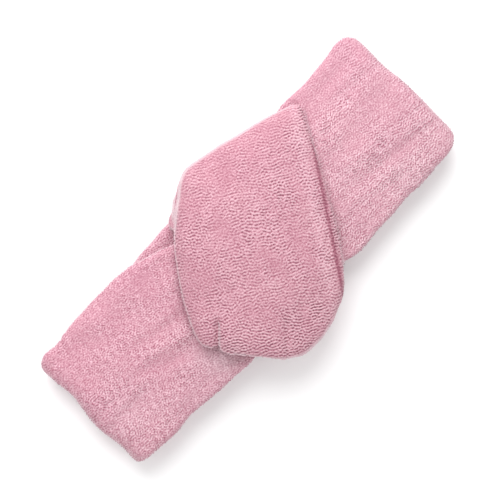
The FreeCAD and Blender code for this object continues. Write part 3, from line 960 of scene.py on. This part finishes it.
# Soft folds of the panel: start, end, width, height and fade.
PANEL_FOLDS = [
    ((-47.5, -25.0), (-38.5, -16.5), 1.5, -2.6, 3.5),
    ((-43.0, -29.5), (-33.5, -22.5), 3.0, 0.9, 5),
    ((-50.0, -18.0), (-42.0, -8.0), 3.4, 0.8, 6),
    ((-22.0, -55.0), (-12.0, -40.0), 3.4, -0.9, 8),
    ((-6.0, -60.0), (2.0, -44.0), 4.0, 0.6, 8),
    ((10.0, -56.0), (14.0, -44.0), 3.2, -0.7, 8),
    ((-21.5, -50.0), (-13.0, -41.0), 1.7, -0.8, 4),
    ((-8.0, 46.0), (4.0, 34.0), 4.5, -0.5, 8),
    ((30.0, 45.0), (34.0, 30.0), 5.0, 0.5, 9),
    ((6.0, -10.0), (30.0, 22.0), 12.0, 0.6, 16),
]


def crease_distance(points):
    """Distance beyond the line where the panel's right edge presses on the arm."""
    start, end = np.array(RIGHT_EDGE[0]), np.array(RIGHT_EDGE[-1])
    run = (end - start) / np.linalg.norm(end - start)
    return (points[..., 0] - start[0]) * run[1] - (points[..., 1] - start[1]) * run[0]


def pressed_flat(loop, crest):
    """The wrap's plan with its slopes laid out flat, so that ribs keep their spacing."""
    steps = np.diff(loop, axis=0)
    lengths = np.linalg.norm(steps, axis=2).mean(axis=1)
    plan = np.linalg.norm(steps[..., :2], axis=2).mean(axis=1) * np.sign(steps[..., 1].mean(axis=1))
    spare = np.concatenate([[0], np.cumsum(-lengths - plan)])
    spare -= spare[crest]
    across = loop[..., 1] + spare[:, None]
    return np.stack([loop[..., 0], across, 0 * across], axis=-1)


def wrap_relief(fine):
    """Height of the panel's folds, the strap's gathers and the cloth's unevenness."""
    along, across, up = fine[..., 0], fine[..., 1], fine[..., 2]
    top_face = up > ARM_HIGH - 2
    folds = sum(ridge(along, across, *fold) for fold in PANEL_FOLDS) * top_face
    under = smooth_step((ARM_HIGH - 3 - up) / 8)
    pleats = np.cos(along / 1.35 + 0.8 * np.sin(across / 8))
    return folds + 0.55 * under * pleats + 0.20 * drape(fine, 71, 18.0, 50.0)


def wrap_surface():
    """Fine surface of the wrap, with its folds and ribs."""
    fine = upsample(upsample(wrap_grid(), 0, WRAP_FINE, True), 1, AROUND_FINE, True)
    normal = surface_normals(fine, True)
    top_row = np.argmax(fine[:, :, 2].max(axis=1))
    outward = normal[top_row, np.argmax(fine[top_row, :, 2]), 2]
    if outward < 0:
        raise RuntimeError("the wrap's surface is inside out")
    fine = fine + normal * wrap_relief(fine)[..., None]
    normal = surface_normals(fine, True)
    pile = ribs(pressed_flat(fine, top_row), 73)
    depth = np.clip(0.95 + 0.2 * waves(fine, 20, 10.0, 30.0, 79), 0.5, 1.3)
    depth = depth * brushed(fine[..., 1], 16, 0.42)
    fine = fine + normal * (RIB_HEIGHT * pile * depth)[..., None]
    looks = looks_of(normal, pile, depth)
    crease = crease_distance(fine)
    # Along the crease where the panel's right edge presses on the arm: no painted sheen, a painted
    # highlight just inside the edge, and painted shade in the crease.
    looks["painted_sheen"] *= 1 - smooth_step((crease + 9) / 5)
    painted_highlight, shaded = np.exp(-((crease + 4) / 3) ** 2), np.exp(-((crease - 2.2) / 0.9) ** 2)
    looks["pile"] += 0.12 * painted_highlight - 0.5 * shaded
    return fine, looks


def make_wrap():
    """Panel on the front and strap under the band, cut from one surface."""
    fine, looks = wrap_surface()
    rows = len(fine)
    height = fine[..., 2].max(axis=1)
    upper = np.where(height > ARM_HIGH - 4)[0]
    first, last = int(upper.min()), int(upper.max())
    panel = sliced("wrap_panel", fine, looks, first, last)
    finish_piece(panel, KNOT_TERRY)
    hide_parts("knot_wrap_outer")
    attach(panel, "knot")

    order = [index % rows for index in range(last, rows + first + 1)]
    order = order[::2] + order[-1:]
    turned_looks = {key: values[order, ::2] for key, values in looks.items()}
    strap = sliced("wrap_strap", fine[order, ::2], turned_looks, 0, len(order) - 1)
    finish_piece(strap, KNOT_TERRY)
    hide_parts("knot_wrap_lining")
    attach(strap, "knot")


def make_core():
    """Crumpled, gathered ends of the band that fill out the wrap."""
    columns, rows = 40, 22
    start, length, half_width, half_thick = -30, 74, 31, 2.6
    middle_height = ARM_HIGH + 3.3
    across, lift = flat_oval(columns, 60, 6, 0.5)
    grid = np.zeros((rows, columns, 3))
    for row in range(rows):
        share = row / (rows - 1)
        bulge = math.sin(math.pi * (0.06 + 0.88 * share)) ** 0.6
        slant = 14 * (share - 0.5)
        grid[row, :, 0] = start + length * share
        grid[row, :, 1] = slant + half_width * bulge * across
        grid[row, :, 2] = middle_height + lift * half_thick * bulge
    fine = upsample(upsample(grid, 0, 4, False), 1, 4, True)
    normal = surface_normals(fine, False)
    relief = 0.56 * np.cos(fine[..., 1] / 1.6) + 0.24 * drape(fine, 91)
    fine = fine + normal * relief[..., None]
    pile = grain(unrolled(fine[..., 0].mean(axis=1), fine), 95)
    piece = sliced("knot_core", fine, looks_of(normal, pile), 0, len(fine) - 1)
    finish_piece(piece, BAND_TERRY)
    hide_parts("knot_gather_left", "knot_gather_right")
    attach(piece, "knot")


# ================================================================ seams
def add_seam(node, start, end, sway, lift, pitch, body):
    """Stitches in place of one of the design's seams, riding on a body."""
    piece = zigzag(node + "_stitches", start, end, sway, lift, pitch, THREAD_RADIUS)
    finish_piece(piece, THREAD)
    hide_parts(node)
    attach(piece, body)


def make_arm_seams(side):
    """Side seam, elastic's tack and the two runs of the long seam inside one arm."""
    sign = SIDES[side]
    tab_body = "back_left" if side == "left" else "fold_right"
    seam_x, tack_x = sign * SEAM_ALONG, sign * TACK_ALONG
    add_seam(
        f"side_seam_{side}", (seam_x, LOW_EDGE + 4, 0.75), (seam_x, TOP_EDGE - 5, 0.75),
        (1.3, 0, 0), (0, 0, 0.25), 2.4, tab_body,
    )
    add_seam(
        f"elastic_tack_{side}", (tack_x, -24, 7.0), (tack_x, 24, 7.0),
        (0.9, 0, 0), (0, 0, -0.3), 2.2, f"back_{side}",
    )
    edge, inner = LOW_EDGE + 6, ARM_LOW + 0.25
    long_runs = (
        (f"arm_{side}_seam", KNOT_BEND + 11, FOLD_ALONG - 7, f"arm_{side}"),
        (f"front_{side}_seam", 50, KNOT_BEND - 7, "knot"),
    )
    for node, near, far, body in long_runs:
        add_seam(
            node, (sign * near, edge, inner), (sign * far, edge, inner),
            (0, 1.2, 0), (0, 0, -0.3), 2.4, body,
        )


def make_knot_seams():
    """Seam that closes the wrap under the band, and the one that holds its gathers."""
    reach, up = STRAP_REACH - 3, STRAP_LOW + 0.1
    add_seam(
        "knot_wrap_seam", (-reach, 0, up), (reach, 0, up), (0, 1.1, 0), (0, 0, 0.3), 2.2, "knot",
    )
    up = ARM_LOW + 3.5
    add_seam(
        "knot_gather_seam", (0, -27, up), (0, 24, up), (1.2, 0, 0), (0, 0, 0.4), 2.4, "knot",
    )


def finish_cad_nodes():
    """Give the woven elastic, which stays as designed, its own finish."""
    for section in ("left", "centre", "right"):
        node = frame["nodes"][f"elastic_{section}"]
        node.data.materials.clear()
        node.data.materials.append(ELASTIC)


# ================================================================ stage
def make_stage():
    """Plain pale floor, just under the headband."""
    size = 3.0
    mesh = bpy.data.meshes.new("floor")
    corners = [(-size, -size, 0), (size, -size, 0), (size, size, 0), (-size, size, 0)]
    mesh.from_pydata(corners, [], [(0, 1, 2, 3)])
    floor = bpy.data.objects.new("floor", mesh)
    bpy.context.collection.objects.link(floor)
    floor.location.z = -0.0004
    material, _, shader = new_material("floor_white", 0.9)
    shader.inputs["Base Color"].default_value = (0.93, 0.93, 0.93, 1)
    mesh.materials.append(material)


def add_light(name, place, power, size):
    """Round soft light that points at the middle of the headband."""
    data = bpy.data.lights.new(name, "AREA")
    data.energy = power
    data.shape = "DISK"
    data.size = size
    light = bpy.data.objects.new(name, data)
    bpy.context.collection.objects.link(light)
    light.location = place
    light.rotation_euler = (Vector((0, 0, 0)) - Vector(place)).to_track_quat("-Z", "Y").to_euler()


def make_lights():
    """Large soft key from the image's top, weak fill from below, pale studio all round."""
    add_light("key", (0.35, 0.52, 0.62), power=8.0, size=0.85)
    add_light("fill", (-0.5, -0.75, 0.9), power=4.2, size=1.2)
    world = bpy.data.worlds.new("studio")
    world.use_nodes = True
    background = world.node_tree.nodes["Background"]
    background.inputs["Color"].default_value = (1, 1, 1, 1)
    background.inputs["Strength"].default_value = 0.74
    bpy.context.scene.world = world


def make_camera():
    """Straight down, with the band rising to the upper right at 46 degrees."""
    lens, sensor, view_width = 100.0, 36.0, 260.0
    middle_height = 14.0
    slope = math.radians(46.05)
    right = Vector((math.cos(slope), -math.sin(slope), 0))
    up = Vector((math.sin(slope), math.cos(slope), 0))
    data = bpy.data.cameras.new("camera")
    data.lens = lens
    data.sensor_width = sensor
    camera = bpy.data.objects.new("camera", data)
    bpy.context.collection.objects.link(camera)
    aim = right * 2.1 * MM
    distance = view_width * lens / sensor + middle_height
    turn = Matrix((right, up, Vector((0, 0, 1)))).transposed().to_4x4()
    camera.matrix_world = Matrix.Translation(aim + Vector((0, 0, distance * MM))) @ turn
    bpy.context.scene.camera = camera


make_camera()
for each_side in SIDES:
    make_band_half(each_side)
    make_casing(each_side)
make_wrap()
make_core()
for each_side in SIDES:
    make_arm_seams(each_side)
make_knot_seams()
finish_cad_nodes()
make_stage()
make_lights()
bpy.context.scene.view_settings.view_transform = "Standard"
